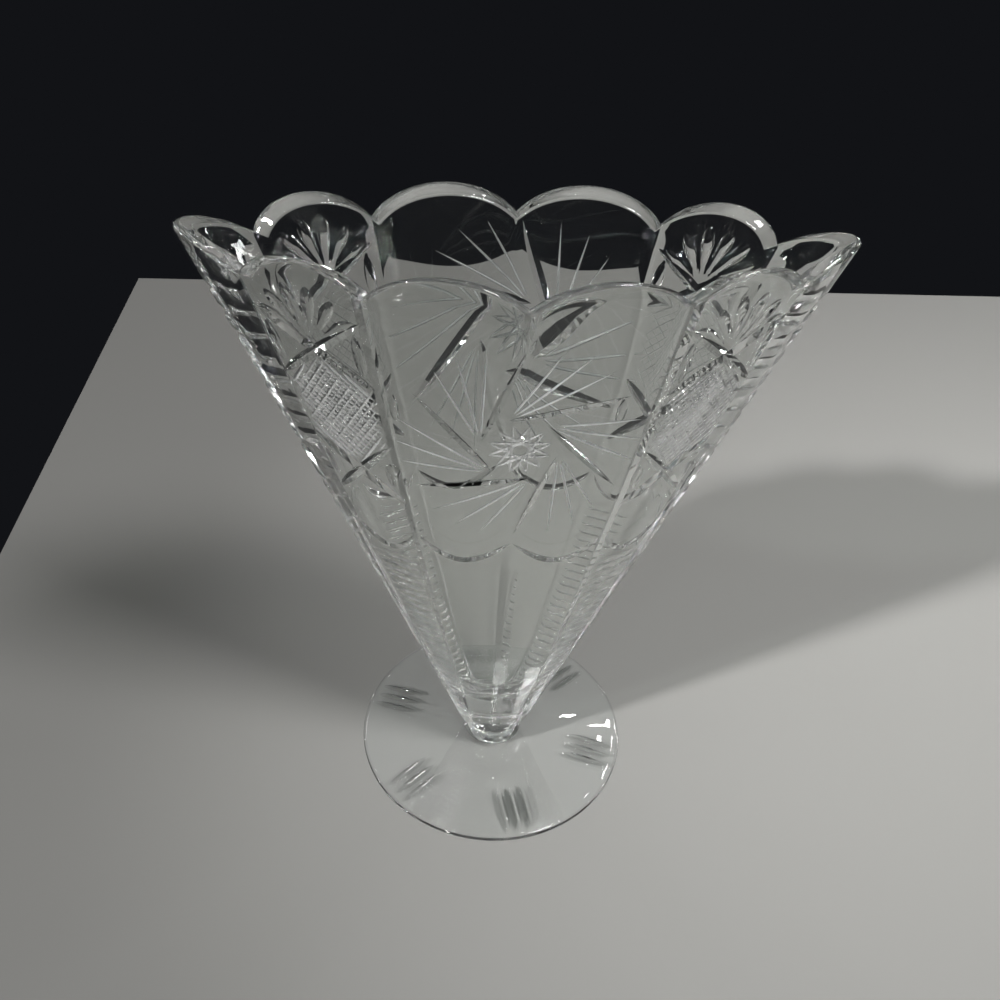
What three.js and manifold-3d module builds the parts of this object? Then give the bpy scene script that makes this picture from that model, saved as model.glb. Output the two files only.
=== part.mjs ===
// A footed fan vase in cut clear crystal, in millimetres, with +Z up.
// The origin is the centre of the foot's underside, +X runs along the wide way of the rim
// and -Y is the face that is looked at.
// Three gathers of glass make it: the foot, the collar and the bowl. Each rests on the one
// below with its whole flat end face.

import * as THREE from "three";
import Module from "manifold-3d";

const wasm = await Module();
wasm.setup();

// Overall sizes
const VASE_HEIGHT = 203;
const RIM_HALF_WIDTH = 89.2;
const RIM_HALF_DEPTH = 32.2;
const RIM_PLAN_POWER = 1.57; // plan outline at the rim: 2 is an ellipse, less is more pointed
const ROUND_PLAN_POWER = 2; // plan outline at the neck, where the bowl is still round

// Foot and collar
const FOOT_RADIUS = 48.5;
const FOOT_EDGE_HEIGHT = 2.6;
const FOOT_EDGE_ROUND = 0.7;
const FOOT_SEAT_HEIGHT = 5;
const COLLAR_BASE_RADIUS = 10.6;
const COLLAR_WAIST_RADIUS = 8.2;
const COLLAR_HEIGHT = 7;
const FOOT_STEPS = 60; // facets round the foot and the collar

// Bowl
const NECK_RADIUS = 12.4;
const NECK_EDGE_ROUND = 3.5;
const RIM_SIDE_WALL = 5.4;
const RIM_END_WALL = 5.6;
const WALL_GAIN = 2.35; // how much thicker the wall is below the rim
const WALL_GAIN_DEPTH = 31; // how far below the rim the wall has its full thickness
const RIM_DROP = 0.5; // how much lower the rim is on the inside, at a notch
const RIM_SLOPE = 1.1; // and how much more at the top of a scallop
const BASE_GLASS = 15; // solid glass between the neck and the lowest point of the inside
const CAVITY_ROUNDING = 14; // height over which the inside closes to its rounded bottom
const SCALLOP_DEPTH = 8.2;
const SCALLOP_FULLNESS = 0.72;

// Panels: the angles on the plan outline where one panel ends and the next begins
const END_PANEL_EDGE = 29.6;
const SIDE_PANEL_EDGE = 56.2;
const CENTRE_EDGE = 90;
const EDGE_CUT_DEPTH = 0.75;
const EDGE_CUT_WIDTH = 3.8;
const EDGE_CUT_NECK_SHARE = 0.35; // depth and width left where an edge cut reaches the neck
const BACK_SPEAR_LENGTH = 4; // the centre edge cut is a spear under its notch
const FRONT_SPEAR_LENGTH = 11;
const STEM_BELOW_RIM = 100; // and starts again as a stem this far down
const STEM_RUN_OUT = 11; // the stem reaches its full depth over this height
const EDGE_CUT_TRACE = 0.05; // the share of an edge cut that stays where it is broken off

// Cuts: a wheel with a V rim leaves a boat-shaped groove, as wide as its depth and angle allow
const WHEEL_HALF_ANGLE = 52;
const CUT_CLEAR = 0.6; // how far a cutter stands out of the glass

// The star on the back was cut a little higher, larger and deeper than the one on the front.
const FRONT_STAR = { side: -1, aside: 0, belowRim: 50.5, growth: 1, depth: 0.95 };
const BACK_STAR = { side: 1, aside: 2, belowRim: 46.5, growth: 1.1, depth: 1.15 };
const STAR_ARMS = 6;
const STAR_RADIUS = 33;
const STAR_HUB_RADIUS = 10.8;
const STAR_LEAD = 80; // degrees from an arm's tip back to the start of the arm on the hub

const FAN_RAYS = 6;
const FAN_BELOW_RIM = 23.5;
const FAN_SPREAD = 110;
const FAN_START = 3;
const FAN_LENGTH = 17;
const FAN_CUT_DEPTH = 1.5;

const UPPER_CROSS_BELOW_RIM = 25.5;
const LOWER_CROSS_BELOW_RIM = 65;
const CROSS_RISE = 11;
const CROSS_CUT_DEPTH = 1.1;

const FESTOON_BELOW_RIM = 87;
const FESTOON_SAG = 8.5;
const FESTOON_CUT_DEPTH = 0.7;

const FOOT_CUT_GROUPS = 6;
const FOOT_CUTS_PER_GROUP = 3;
const FOOT_CUT_TURN = -19.5; // where the first group stands, in degrees from +X
const FOOT_CUT_SPACING = 4.3;
const FOOT_CUT_MARGIN = 2.4; // plain glass between a foot cut and the foot's edge
const FOOT_CUT_LENGTH = 17;
const FOOT_CUT_DEPTH = 0.8;

const GLASS_COLOUR = 0xeef2f2;
const GLASS_ROUGHNESS = 0.04;

const radians = THREE.MathUtils.degToRad;
const lerp = THREE.MathUtils.lerp;
const COLLAR_TOP = FOOT_SEAT_HEIGHT + COLLAR_HEIGHT;
const CAVITY_BOTTOM = COLLAR_TOP + BASE_GLASS;
const FAN_HEIGHT = VASE_HEIGHT - FAN_BELOW_RIM;
const UPPER_CROSS_HEIGHT = VASE_HEIGHT - UPPER_CROSS_BELOW_RIM;
const LOWER_CROSS_HEIGHT = VASE_HEIGHT - LOWER_CROSS_BELOW_RIM;
const FESTOON_HEIGHT = VASE_HEIGHT - FESTOON_BELOW_RIM;
const FOOT_CUT_OUTER = FOOT_RADIUS - FOOT_CUT_MARGIN;
const FOOT_CUT_INNER = FOOT_CUT_OUTER - FOOT_CUT_LENGTH;

// The plan outline at a height: half width, half depth and the power of the curve.
function planAt(height, endWall, sideWall) {
  const rise = (height - COLLAR_TOP) / (VASE_HEIGHT - COLLAR_TOP);
  return {
    width: lerp(NECK_RADIUS, RIM_HALF_WIDTH, rise) - endWall,
    depth: lerp(NECK_RADIUS, RIM_HALF_DEPTH, rise) - sideWall,
    power: lerp(ROUND_PLAN_POWER, RIM_PLAN_POWER, rise),
  };
}

function pointOn(plan, angle, height) {
  const across = Math.cos(angle);
  const along = Math.sin(angle);
  const bend = 2 / plan.power;
  return new THREE.Vector3(
    plan.width * Math.sign(across) * Math.abs(across) ** bend,
    plan.depth * Math.sign(along) * Math.abs(along) ** bend,
    height,
  );
}

function outerPoint(angle, height) {
  return pointOn(planAt(height, 0, 0), angle, height);
}

// The outward normal of the bowl's outside, from two short steps along it.
function outerNormal(angle, height) {
  const step = 0.002;
  const turn = outerPoint(angle + step, height).sub(outerPoint(angle - step, height));
  const climb = outerPoint(angle, height + step).sub(outerPoint(angle, height - step));
  return turn.cross(climb).normalize();
}

// The panel edges all the way round, from the first edge after +X.
function panelEdges() {
  const quarter = [END_PANEL_EDGE, SIDE_PANEL_EDGE, CENTRE_EDGE];
  const half = [...quarter, 180 - SIDE_PANEL_EDGE, 180 - END_PANEL_EDGE];
  return [...half, ...half.map((edge) => edge + 180)].map(radians);
}

const EDGES = panelEdges();
const SPEAR_LENGTHS = { 2: BACK_SPEAR_LENGTH, 7: FRONT_SPEAR_LENGTH }; // by the number of the edge
const PANEL_STEPS = 8; // even, so that one column runs up to the top of each scallop

function rimHeight(share) {
  const fullness = 1 - (2 * share - 1) ** 2;
  return VASE_HEIGHT - SCALLOP_DEPTH * (1 - Math.max(fullness, 0) ** SCALLOP_FULLNESS);
}

// The rim's height on the inside, where it slopes down.
function innerRimHeight(share) {
  return rimHeight(share) - RIM_DROP - RIM_SLOPE * (1 - (2 * share - 1) ** 2);
}

// The angle that one millimetre along the outline takes up, at an angle and a height.
function anglePerMillimetre(angle, height) {
  const step = 0.01;
  const arc = outerPoint(angle + step, height).distanceTo(outerPoint(angle - step, height));
  return (2 * step) / arc;
}

function nextEdge(index) {
  return index + 1 < EDGES.length ? EDGES[index + 1] : EDGES[0] + 2 * Math.PI;
}

// How far across its panel an angle lies at the rim, from 0 at one edge to 1 at the next.
function shareOfAngle(angle, edge, next) {
  const start = outerPoint(edge, VASE_HEIGHT);
  const chord = outerPoint(next, VASE_HEIGHT).sub(start);
  const reach = outerPoint(angle, VASE_HEIGHT).sub(start);
  return reach.dot(chord) / chord.lengthSq();
}

// The angle at a share of a panel, found by halving the interval.
function angleOfShare(share, edge, next) {
  let low = edge;
  let high = next;
  for (let round = 0; round < 40; round += 1) {
    const middle = (low + high) / 2;
    if (shareOfAngle(middle, edge, next) < share) low = middle;
    else high = middle;
  }
  return (low + high) / 2;
}

// The share of a panel that half the width of its edge cut takes up at a height.
function edgeShare(edge, next, height, cutShare) {
  const chord = outerPoint(edge, height).distanceTo(outerPoint(next, height));
  return ((EDGE_CUT_WIDTH / 2) * cutShare) / chord;
}

// How much of a full edge cut there is on an edge at a height.
function cutShareAt(index, height) {
  const rise = (height - COLLAR_TOP) / (rimHeight(0) - COLLAR_TOP);
  const share = lerp(EDGE_CUT_NECK_SHARE, 1, rise);
  const spearLength = SPEAR_LENGTHS[index % EDGES.length];
  if (spearLength === undefined) return share;
  const spear = 1 - (rimHeight(0) - height) / spearLength;
  const stem = (VASE_HEIGHT - STEM_BELOW_RIM - height) / STEM_RUN_OUT;
  return share * THREE.MathUtils.clamp(Math.max(spear, stem), EDGE_CUT_TRACE, 1);
}

// One ring of the bowl's outside: for each panel its edge groove and then the panel's face.
function outerRing(climb) {
  const ring = [];
  const notch = lerp(COLLAR_TOP, rimHeight(0), climb);
  EDGES.forEach((edge, index) => {
    const next = nextEdge(index);
    const cutShare = cutShareAt(index, notch);
    const floor = outerPoint(edge, notch);
    floor.addScaledVector(outerNormal(edge, notch), -EDGE_CUT_DEPTH * cutShare);
    floor.z = notch;
    ring.push(floor);
    const inset = edgeShare(edge, next, notch, cutShare);
    const farInset = edgeShare(edge, next, notch, cutShareAt(index + 1, notch));
    for (let step = 0; step <= PANEL_STEPS; step += 1) {
      const share = lerp(inset, 1 - farInset, step / PANEL_STEPS);
      const height = lerp(COLLAR_TOP, rimHeight(share), climb);
      ring.push(outerPoint(angleOfShare(share, edge, next), height));
    }
  });
  return ring;
}

// One ring of the inside, on the same panels, from its rounded bottom up to the rim.
function innerRing(climb) {
  const ring = [];
  EDGES.forEach((edge, index) => {
    const next = nextEdge(index);
    const inset = edgeShare(edge, next, VASE_HEIGHT, 1);
    const shares = [0];
    for (let step = 0; step <= PANEL_STEPS; step += 1) {
      shares.push(lerp(inset, 1 - inset, step / PANEL_STEPS));
    }
    shares.forEach((share) => {
      const top = innerRimHeight(share);
      const height = lerp(CAVITY_BOTTOM, top, climb);
      const nearRim = Math.max(1 - (top - height) / WALL_GAIN_DEPTH, 0);
      const gain = WALL_GAIN * (1 - nearRim ** 2);
      const plan = planAt(height, RIM_END_WALL + gain, RIM_SIDE_WALL + gain);
      const up = Math.min((height - CAVITY_BOTTOM) / CAVITY_ROUNDING, 1);
      const closing = Math.sqrt(1 - (1 - up) ** 2);
      plan.width *= closing;
      plan.depth *= closing;
      ring.push(pointOn(plan, angleOfShare(share, edge, next), height));
    });
  });
  return ring;
}

// A closed mesh from rings of equal length, capped with a fan at the first and last ring.
function solidFromRings(rings, firstCentre, lastCentre) {
  const count = rings[0].length;
  const points = [...rings.flat(), firstCentre, lastCentre];
  const triangles = [];
  for (let row = 0; row + 1 < rings.length; row += 1) {
    for (let column = 0; column < count; column += 1) {
      const beside = (column + 1) % count;
      const a = row * count + column;
      const b = row * count + beside;
      const c = a + count;
      const d = b + count;
      triangles.push(a, b, d, a, d, c);
    }
  }
  const first = points.length - 2;
  const last = points.length - 1;
  const lastRow = (rings.length - 1) * count;
  for (let column = 0; column < count; column += 1) {
    const beside = (column + 1) % count;
    triangles.push(first, beside, column);
    triangles.push(last, lastRow + column, lastRow + beside);
  }
  const geometry = new THREE.BufferGeometry();
  geometry.setFromPoints(points);
  geometry.setIndex(triangles);
  return geometry;
}

function toManifold(geometry) {
  const vertProperties = new Float32Array(geometry.getAttribute("position").array);
  const triVerts = new Uint32Array(geometry.index.array);
  return new wasm.Manifold(new wasm.Mesh({ numProp: 3, vertProperties, triVerts }));
}

function toGeometry(manifold) {
  const mesh = manifold.getMesh();
  const geometry = new THREE.BufferGeometry();
  geometry.setAttribute("position", new THREE.BufferAttribute(mesh.vertProperties, 3));
  geometry.setIndex(new THREE.BufferAttribute(mesh.triVerts, 1));
  geometry.computeVertexNormals();
  return geometry;
}

// A V-shaped cutter along a path of {point, normal} stations. It is deepest at its middle
// and rises out of the glass at both ends, as a wheel leaves it.
function cutterAlong(stations, depth) {
  const spread = Math.tan(radians(WHEEL_HALF_ANGLE));
  const last = stations.length - 1;
  const rings = stations.map(({ point, normal }, index) => {
    const before = stations[Math.max(index - 1, 0)].point;
    const after = stations[Math.min(index + 1, last)].point;
    const ahead = after.clone().sub(before).normalize();
    const side = normal.clone().cross(ahead).normalize();
    const share = index / last;
    const sunk = depth * (1 - (2 * share - 1) ** 2) - 0.02;
    const halfWidth = (sunk + CUT_CLEAR) * spread;
    const top = point.clone().addScaledVector(normal, CUT_CLEAR);
    return [
      top.clone().addScaledVector(side, halfWidth),
      top.clone().addScaledVector(side, -halfWidth),
      point.clone().addScaledVector(normal, -sunk),
    ];
  });
  const middle = (ring) => ring[0].clone().add(ring[1]).add(ring[2]).divideScalar(3);
  return toManifold(solidFromRings(rings, middle(rings[0]), middle(rings[last])));
}

const CUT_STATIONS = 8;

// A path on the bowl from a function that gives the angle and the height at each share.
function bowlPath(at) {
  const stations = [];
  for (let step = 0; step <= CUT_STATIONS; step += 1) {
    const { angle, height } = at(step / CUT_STATIONS);
    stations.push({ point: outerPoint(angle, height), normal: outerNormal(angle, height) });
  }
  return stations;
}

// The angle on the front (side -1) or the back (side 1) where the outside has this x.
function angleOfX(x, height, side) {
  const plan = planAt(height, 0, 0);
  const reach = Math.min(Math.abs(x) / plan.width, 1);
  const across = Math.sign(x) * reach ** (plan.power / 2);
  return side * Math.acos(across);
}

// The pinwheel: each arm leaves the hub along a tangent and runs out to its tip.
function starCuts({ side, aside, belowRim, growth, depth }) {
  const cuts = [];
  const outer = STAR_RADIUS * growth;
  const inner = STAR_HUB_RADIUS * growth;
  for (let arm = 0; arm < STAR_ARMS; arm += 1) {
    const tip = radians(90 + (360 / STAR_ARMS) * arm);
    const start = tip + radians(STAR_LEAD);
    cuts.push(
      cutterAlong(
        bowlPath((share) => {
          const x = lerp(inner * Math.cos(start), outer * Math.cos(tip), share);
          const lift = lerp(inner * Math.sin(start), outer * Math.sin(tip), share);
          const height = VASE_HEIGHT - belowRim + lift;
          return { angle: angleOfX(aside - side * x, height, side), height };
        }),
        depth,
      ),
    );
  }
  return cuts;
}

// The four side panels, each with the angle of its middle and of its two edges.
function sidePanels() {
  const inner = radians(SIDE_PANEL_EDGE);
  const outer = radians(END_PANEL_EDGE);
  return [
    { inner, outer },
    { inner: Math.PI - inner, outer: Math.PI - outer },
    { inner: Math.PI + inner, outer: Math.PI + outer },
    { inner: -inner, outer: -outer },
  ];
}

// The fan under each side scallop: rays that spread from one point below the rim.
function fanCuts(panel) {
  const cuts = [];
  const middle = (panel.inner + panel.outer) / 2;
  const perMillimetre = anglePerMillimetre(middle, FAN_HEIGHT);
  for (let ray = 0; ray < FAN_RAYS; ray += 1) {
    const lean = radians(lerp(-FAN_SPREAD / 2, FAN_SPREAD / 2, ray / (FAN_RAYS - 1)));
    const length = FAN_LENGTH * (0.72 + 0.28 * Math.cos(lean));
    cuts.push(
      cutterAlong(
        bowlPath((share) => {
          const out = lerp(FAN_START, length, share);
          return {
            angle: middle + out * Math.sin(lean) * perMillimetre,
            height: FAN_HEIGHT + out * Math.cos(lean),
          };
        }),
        FAN_CUT_DEPTH * lerp(1, 0.7, Math.abs(Math.sin(lean))),
      ),
    );
  }
  return cuts;
}

// The two crosses of a side panel, above and below the field that is hatched.
function crossCuts(panel) {
  const cuts = [];
  [UPPER_CROSS_HEIGHT, LOWER_CROSS_HEIGHT].forEach((centre) => {
    [-1, 1].forEach((slope) => {
      cuts.push(
        cutterAlong(
          bowlPath((share) => ({
            angle: lerp(panel.inner, panel.outer, share),
            height: centre + slope * CROSS_RISE * (2 * share - 1),
          })),
          CROSS_CUT_DEPTH,
        ),
      );
    });
  });
  return cuts;
}

// The hanging arc that closes the cut field of each panel at its foot.
function festoonCuts() {
  return EDGES.map((edge, index) => {
    const next = nextEdge(index);
    return cutterAlong(
      bowlPath((share) => ({
        angle: angleOfShare(share, edge, next),
        height: FESTOON_HEIGHT - FESTOON_SAG * (1 - (2 * share - 1) ** 2),
      })),
      FESTOON_CUT_DEPTH,
    );
  });
}

const OUTER_ROWS = [0.12, 0.24, 0.35, 0.44, 0.5, 0.62, 0.74, 0.85, 0.935, 0.97, 1];
const INNER_ROWS = [0.006, 0.02, 0.045, 0.085, 0.16, 0.45, 0.75, 0.84, 0.92, 1];

const NECK_TURNS = [0, 30, 60, 90];

// One ring of the bowl's rounded lower edge: a turn of 0 is its seat, 90 is where the straight wall begins.
function neckRing(turn) {
  const lift = NECK_EDGE_ROUND * (1 - Math.cos(radians(turn)));
  const inset = NECK_EDGE_ROUND * (1 - Math.sin(radians(turn)));
  const narrow = 1 - inset / NECK_RADIUS;
  const ring = outerRing(lift / (rimHeight(0) - COLLAR_TOP));
  return ring.map((point) => point.multiply(new THREE.Vector3(narrow, narrow, 1)));
}

function makeBowl() {
  const rings = NECK_TURNS.map(neckRing);
  OUTER_ROWS.forEach((climb) => rings.push(outerRing(climb)));
  [...INNER_ROWS].reverse().forEach((climb) => rings.push(innerRing(climb)));
  const under = new THREE.Vector3(0, 0, COLLAR_TOP);
  const bottom = new THREE.Vector3(0, 0, CAVITY_BOTTOM);
  let bowl = toManifold(solidFromRings(rings, under, bottom));
  const cuts = [
    ...starCuts(FRONT_STAR),
    ...starCuts(BACK_STAR),
    ...sidePanels().flatMap((panel) => [...fanCuts(panel), ...crossCuts(panel)]),
    ...festoonCuts(),
  ];
  cuts.forEach((cut) => {
    bowl = bowl.subtract(cut);
  });
  return toGeometry(bowl);
}

// A turned solid from a closed profile of [radius, height] pairs that starts and ends on the axis.
function turned(profile) {
  const points = profile.map(([radius, height]) => new THREE.Vector2(radius, height));
  const lathe = new THREE.LatheGeometry(points, FOOT_STEPS);
  lathe.rotateX(Math.PI / 2);
  return lathe;
}

function makeCollar() {
  const mid = lerp(FOOT_SEAT_HEIGHT, COLLAR_TOP, 0.5);
  const low = lerp(FOOT_SEAT_HEIGHT, COLLAR_TOP, 0.2);
  const high = lerp(FOOT_SEAT_HEIGHT, COLLAR_TOP, 0.8);
  const topRadius = NECK_RADIUS - NECK_EDGE_ROUND;
  const flare = lerp(COLLAR_WAIST_RADIUS, COLLAR_BASE_RADIUS, 0.35);
  const upperFlare = lerp(COLLAR_WAIST_RADIUS, topRadius, 0.35);
  return turned([
    [0, FOOT_SEAT_HEIGHT],
    [COLLAR_BASE_RADIUS, FOOT_SEAT_HEIGHT],
    [flare, low],
    [COLLAR_WAIST_RADIUS, mid],
    [upperFlare, high],
    [topRadius, COLLAR_TOP],
    [0, COLLAR_TOP],
  ]);
}

// The height of the foot's top at a radius: a shallow dome from the edge up to the seat.
function footTop(radius) {
  const share = (FOOT_RADIUS - radius) / (FOOT_RADIUS - COLLAR_BASE_RADIUS);
  return lerp(FOOT_EDGE_HEIGHT, FOOT_SEAT_HEIGHT, share ** 1.3);
}

function footCuts() {
  const cuts = [];
  for (let group = 0; group < FOOT_CUT_GROUPS; group += 1) {
    const turn = radians(FOOT_CUT_TURN - (360 / FOOT_CUT_GROUPS) * group);
    const out = new THREE.Vector3(Math.cos(turn), Math.sin(turn), 0);
    const across = new THREE.Vector3(-out.y, out.x, 0);
    for (let index = 0; index < FOOT_CUTS_PER_GROUP; index += 1) {
      const aside = (index - (FOOT_CUTS_PER_GROUP - 1) / 2) * FOOT_CUT_SPACING;
      const stations = [];
      for (let step = 0; step <= CUT_STATIONS; step += 1) {
        const along = lerp(FOOT_CUT_INNER, FOOT_CUT_OUTER, step / CUT_STATIONS);
        const point = out.clone().multiplyScalar(along).addScaledVector(across, aside);
        point.z = footTop(Math.hypot(along, aside));
        stations.push({ point, normal: new THREE.Vector3(0, 0, 1) });
      }
      cuts.push(cutterAlong(stations, FOOT_CUT_DEPTH));
    }
  }
  return cuts;
}

function mergeTurned(geometry) {
  const position = geometry.getAttribute("position");
  const ringLength = geometry.parameters.points.length;
  const points = [];
  const triangles = [];
  const profile = geometry.parameters.points;
  for (let step = 0; step < FOOT_STEPS; step += 1) {
    for (let index = 1; index + 1 < ringLength; index += 1) {
      points.push(new THREE.Vector3().fromBufferAttribute(position, step * ringLength + index));
    }
  }
  const inner = ringLength - 2;
  const low = points.length;
  const high = low + 1;
  points.push(new THREE.Vector3(0, 0, profile[0].y));
  points.push(new THREE.Vector3(0, 0, profile[ringLength - 1].y));
  for (let step = 0; step < FOOT_STEPS; step += 1) {
    const beside = (step + 1) % FOOT_STEPS;
    for (let index = 0; index + 1 < inner; index += 1) {
      const a = step * inner + index;
      const b = beside * inner + index;
      triangles.push(a, b, b + 1, a, b + 1, a + 1);
    }
    triangles.push(low, beside * inner, step * inner);
    triangles.push(high, step * inner + inner - 1, beside * inner + inner - 1);
  }
  const merged = new THREE.BufferGeometry();
  merged.setFromPoints(points);
  merged.setIndex(triangles);
  return merged;
}

function makeFoot() {
  const profile = [
    [0, 0],
    [FOOT_RADIUS - FOOT_EDGE_ROUND, 0],
    [FOOT_RADIUS, FOOT_EDGE_ROUND],
    [FOOT_RADIUS, FOOT_EDGE_HEIGHT - FOOT_EDGE_ROUND],
    [FOOT_RADIUS - FOOT_EDGE_ROUND, footTop(FOOT_RADIUS - FOOT_EDGE_ROUND)],
  ];
  [0.25, 0.5, 0.75].forEach((share) => {
    const radius = lerp(FOOT_RADIUS, COLLAR_BASE_RADIUS, share);
    profile.push([radius, footTop(radius)]);
  });
  profile.push([COLLAR_BASE_RADIUS, FOOT_SEAT_HEIGHT]);
  profile.push([0, FOOT_SEAT_HEIGHT]);
  let foot = toManifold(mergeTurned(turned(profile)));
  footCuts().forEach((cut) => {
    foot = foot.subtract(cut);
  });
  return toGeometry(foot);
}

function glassMesh(name, geometry) {
  const material = new THREE.MeshStandardMaterial({
    color: GLASS_COLOUR,
    roughness: GLASS_ROUGHNESS,
    metalness: 0,
  });
  const mesh = new THREE.Mesh(geometry, material);
  mesh.name = name;
  return mesh;
}

const vase = new THREE.Group();
vase.add(glassMesh("foot", makeFoot()));
vase.add(glassMesh("collar", toGeometry(toManifold(mergeTurned(makeCollar())))));
vase.add(glassMesh("bowl", makeBowl()));

export default vase;
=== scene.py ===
# %% [markdown]
# A footed fan vase in clear cut crystal.
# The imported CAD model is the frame: it gives the foot, the collar and the bowl their place and size.
# Blender rebuilds each of the three with the fine cutting that makes crystal sparkle, and hides the
# plain CAD solid behind it. Everything is in metres, with +Z up and the origin under the foot.

# %% Load the frame
import bpy
import math
import numpy as np
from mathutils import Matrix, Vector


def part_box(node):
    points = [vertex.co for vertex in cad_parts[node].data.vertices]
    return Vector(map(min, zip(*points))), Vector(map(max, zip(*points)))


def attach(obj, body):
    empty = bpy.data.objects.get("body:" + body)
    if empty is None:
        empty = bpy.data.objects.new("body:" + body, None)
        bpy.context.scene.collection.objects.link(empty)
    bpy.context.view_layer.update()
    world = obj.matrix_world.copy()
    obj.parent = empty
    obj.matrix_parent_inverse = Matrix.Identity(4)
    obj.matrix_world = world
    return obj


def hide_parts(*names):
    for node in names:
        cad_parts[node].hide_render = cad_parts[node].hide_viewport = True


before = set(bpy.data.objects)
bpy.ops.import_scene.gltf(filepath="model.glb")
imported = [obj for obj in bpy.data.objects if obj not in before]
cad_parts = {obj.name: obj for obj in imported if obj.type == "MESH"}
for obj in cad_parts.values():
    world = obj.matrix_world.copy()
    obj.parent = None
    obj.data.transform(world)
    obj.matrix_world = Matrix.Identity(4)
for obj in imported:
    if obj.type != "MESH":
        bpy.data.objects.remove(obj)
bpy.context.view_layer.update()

# %% [markdown]
# A vase is drawn by a few sizes. They are kept in millimetres, because a glass cutter thinks in
# millimetres, and turned into metres only when a mesh is made. The neck height and the foot's size are
# read from the frame, so the visual model sits exactly where the CAD does.

# %% Sizes in millimetres
MM = 0.001
bowl_low, bowl_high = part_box("bowl")
foot_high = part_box("foot")[1]
VASE_HEIGHT = bowl_high[2] / MM
NECK_HEIGHT = bowl_low[2] / MM
RIM_HALF_WIDTH = bowl_high[0] / MM
FOOT_RADIUS = foot_high[0] / MM
FOOT_SEAT_HEIGHT = foot_high[2] / MM
RIM_HALF_DEPTH = 32.2
RIM_PLAN_POWER = 1.57
NECK_RADIUS = 12.4
NECK_EDGE_ROUND = 3.5
print("height", round(VASE_HEIGHT, 2), "rim width", round(2 * RIM_HALF_WIDTH, 2))
print("neck at", round(NECK_HEIGHT, 2), "foot radius", round(FOOT_RADIUS, 2))

# %% [markdown]
# Seen from above, the rim is a pointed oval, and the neck is round. A superellipse draws both: its power
# is 2 for a true ellipse, and a smaller power pulls the ends to a point. The power and the two half axes
# change evenly with height, so the wall is straight from the neck to the rim, as on the real vase.

# %% The outline of the bowl
def plan_at(height, end_wall=0.0, side_wall=0.0):
    """Half width, half depth and power of the outline at a height."""
    rise = (height - NECK_HEIGHT) / (VASE_HEIGHT - NECK_HEIGHT)
    width = NECK_RADIUS + (RIM_HALF_WIDTH - NECK_RADIUS) * rise - end_wall
    depth = NECK_RADIUS + (RIM_HALF_DEPTH - NECK_RADIUS) * rise - side_wall
    power = 2.0 + (RIM_PLAN_POWER - 2.0) * rise
    return width, depth, power


def outline(angle, height, end_wall=0.0, side_wall=0.0):
    """Points on the outline; angle and height may be arrays."""
    angle, height = np.broadcast_arrays(np.asarray(angle, float), np.asarray(height, float))
    width, depth, power = plan_at(height, end_wall, side_wall)
    bend = 2.0 / power
    across, along = np.cos(angle), np.sin(angle)
    x = width * np.sign(across) * np.abs(across) ** bend
    y = depth * np.sign(along) * np.abs(along) ** bend
    return np.stack([x, y, height], axis=-1)


def unit(vectors):
    return vectors / np.linalg.norm(vectors, axis=-1, keepdims=True)


def outline_normal(angle, height):
    """The outward normal of the bowl's outside, from two short steps along it."""
    step = 0.002
    turn = outline(angle + step, height) - outline(angle - step, height)
    climb = outline(angle, height + step) - outline(angle, height - step)
    return unit(np.cross(turn, climb))


print("end of the rim:", outline(0.0, VASE_HEIGHT).round(2))
print("middle of the back:", outline(math.pi / 2, VASE_HEIGHT).round(2))

# %% [markdown]
# The bowl has ten panels: two in the middle of each face, one beside them on each side, and one at each
# end. Each panel ends at the rim in its own scallop, and a V groove runs down between two panels.
# Places on a panel are easiest to give as a share of its width, from 0 at one edge to 1 at the other, so
# a small table turns that share into an angle on the outline.

# %% Panels and scallops
END_EDGE = 29.6
SIDE_EDGE = 56.2
half_edges = [END_EDGE, SIDE_EDGE, 90.0, 180.0 - SIDE_EDGE, 180.0 - END_EDGE]
EDGES = np.radians(half_edges + [edge + 180.0 for edge in half_edges])
PANELS = len(EDGES)
SIDE_PANELS = (0, 3, 5, 8)
END_PANELS = (4, 9)
SCALLOP_DEPTH = 8.2
SCALLOP_FULLNESS = 0.72
NOTCH_SOFTNESS = 0.12


def panel_span(panel):
    """The angles where a panel starts and ends."""
    last = EDGES[panel + 1] if panel + 1 < PANELS else EDGES[0] + 2 * math.pi
    return EDGES[panel], last


def share_table(panel):
    start, end = panel_span(panel)
    angles = np.linspace(start, end, 400)
    points = outline(angles, VASE_HEIGHT)[:, :2]
    chord = points[-1] - points[0]
    return (points - points[0]) @ chord / (chord @ chord), angles


SHARES = [share_table(panel) for panel in range(PANELS)]


def angle_of_share(panel, share):
    return np.interp(share, *SHARES[panel])


def panel_width(panel, height):
    start, end = panel_span(panel)
    return np.linalg.norm(outline(end, height) - outline(start, height), axis=-1)


def rim_height(share):
    fullness = np.clip(1.0 - (2.0 * np.asarray(share) - 1.0) ** 2, 0.0, 1.0)
    rounded = np.hypot(fullness, NOTCH_SOFTNESS) - NOTCH_SOFTNESS
    rounded = rounded / (math.hypot(1.0, NOTCH_SOFTNESS) - NOTCH_SOFTNESS)
    return VASE_HEIGHT - SCALLOP_DEPTH * (1.0 - rounded ** SCALLOP_FULLNESS)


rim_widths = [round(float(panel_width(panel, VASE_HEIGHT)), 1) for panel in range(PANELS)]
print("panel widths at the rim:", rim_widths)

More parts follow.
